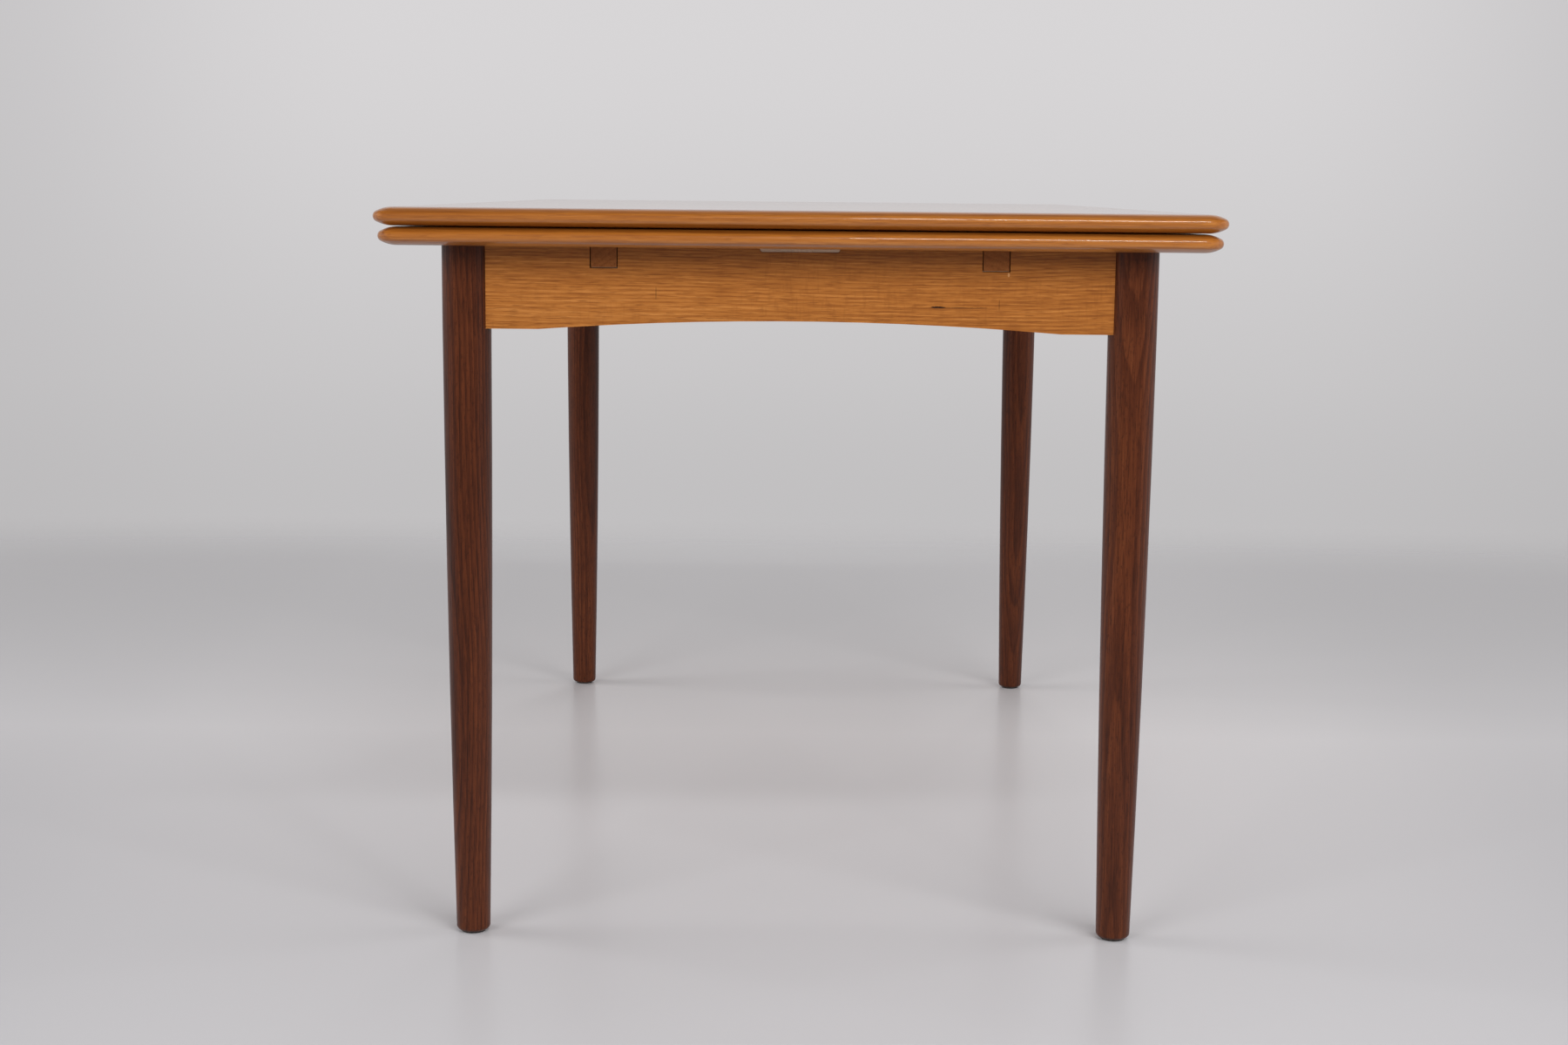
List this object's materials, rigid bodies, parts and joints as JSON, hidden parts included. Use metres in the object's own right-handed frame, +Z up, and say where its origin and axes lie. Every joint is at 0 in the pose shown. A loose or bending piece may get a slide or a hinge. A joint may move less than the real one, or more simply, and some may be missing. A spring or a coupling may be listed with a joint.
{
  "type": "draw-leaf dining table",
  "caption": "Dining table on round tapered legs, with leaves that draw out on sloping bearers from under a loose top.",
  "frame": {"origin": "on the floor under the middle of the table, leaves pushed in", "axes": "+X across the table, +Y along its length (the pictured end is -Y), +Z up"},
  "size_m": [0.8, 1.35, 0.73],
  "materials": {
    "veneer": "honey-brown teak veneer under gloss lacquer",
    "lipping_wood": "solid honey-brown teak under gloss lacquer",
    "apron_wood": "honey-brown teak under satin lacquer",
    "leg_wood": "dark red-brown teak under satin lacquer",
    "inner_wood": "plain beech",
    "bearer_wood": "brown-stained beech",
    "steel": "zinc-plated steel",
    "glide": "dark moulded plastic",
    "felt": "green wool felt"
  },
  "bodies": {
    "frame": {"leg_near_left": "leg_wood", "leg_near_right": "leg_wood", "leg_far_left": "leg_wood", "leg_far_right": "leg_wood", "corner_block_near_left": "inner_wood", "corner_block_near_right": "inner_wood", "corner_block_far_left": "inner_wood", "corner_block_far_right": "inner_wood", "foot_glides": "glide", "apron_dowels": "inner_wood", "leg_bolts": "steel", "leg_bolt_washers": "steel", "leg_bolt_nuts": "steel", "corner_block_screws": "steel", "end_apron_near": "apron_wood", "end_apron_far": "apron_wood", "side_apron_left": "apron_wood", "side_apron_right": "apron_wood", "guide_rail": "inner_wood", "centre_board_screws": "steel", "centre_board": "veneer", "centre_lipping_left": "lipping_wood", "centre_lipping_right": "lipping_wood", "felt_strip_left": "felt", "felt_strip_right": "felt"},
    "near_leaf": {"near_leaf_panel": "veneer", "near_leaf_end_lipping": "lipping_wood", "near_leaf_lipping_left": "lipping_wood", "near_leaf_lipping_right": "lipping_wood", "near_bearer_left": "bearer_wood", "near_bearer_right": "bearer_wood", "near_bearer_screws": "steel", "near_stop_pegs": "inner_wood"},
    "far_leaf": {"far_leaf_panel": "veneer", "far_leaf_end_lipping": "lipping_wood", "far_leaf_lipping_left": "lipping_wood", "far_leaf_lipping_right": "lipping_wood", "far_bearer_left": "bearer_wood", "far_bearer_right": "bearer_wood", "far_bearer_screws": "steel", "far_stop_pegs": "inner_wood"},
    "top_guide": {"guide_peg_near": "inner_wood", "guide_peg_far": "inner_wood"},
    "top": {"top_panel": "veneer", "top_end_lipping_near": "lipping_wood", "top_end_lipping_far": "lipping_wood", "top_side_lipping_left": "lipping_wood", "top_side_lipping_right": "lipping_wood"}
  },
  "joints": [
    {"name": "near_leaf_draw", "type": "slide", "parent": "frame", "child": "near_leaf", "axis": [0, -0.9994, 0.0359], "range_m": [0, 0.51033]},
    {"name": "far_leaf_draw", "type": "slide", "parent": "frame", "child": "far_leaf", "axis": [0, 0.9994, 0.0359], "range_m": [0, 0.51033]},
    {"name": "top_tilt_near", "type": "hinge", "parent": "frame", "child": "top_guide", "pos_m": [0, 0.66, 0.7125], "axis": [-1, 0, 0], "range_deg": [0, 0.97]},
    {"name": "top_tilt_far", "type": "hinge", "parent": "top_guide", "child": "top", "pos_m": [0, -0.66, 0.7125], "axis": [1, 0, 0], "range_deg": [0, 0.97]}
  ],
  "couplings": [
    {"joint": "top_tilt_near", "follows": "near_leaf_draw", "rad_per_m": 0.033},
    {"joint": "top_tilt_far", "follows": "far_leaf_draw", "rad_per_m": 0.033}
  ]
}
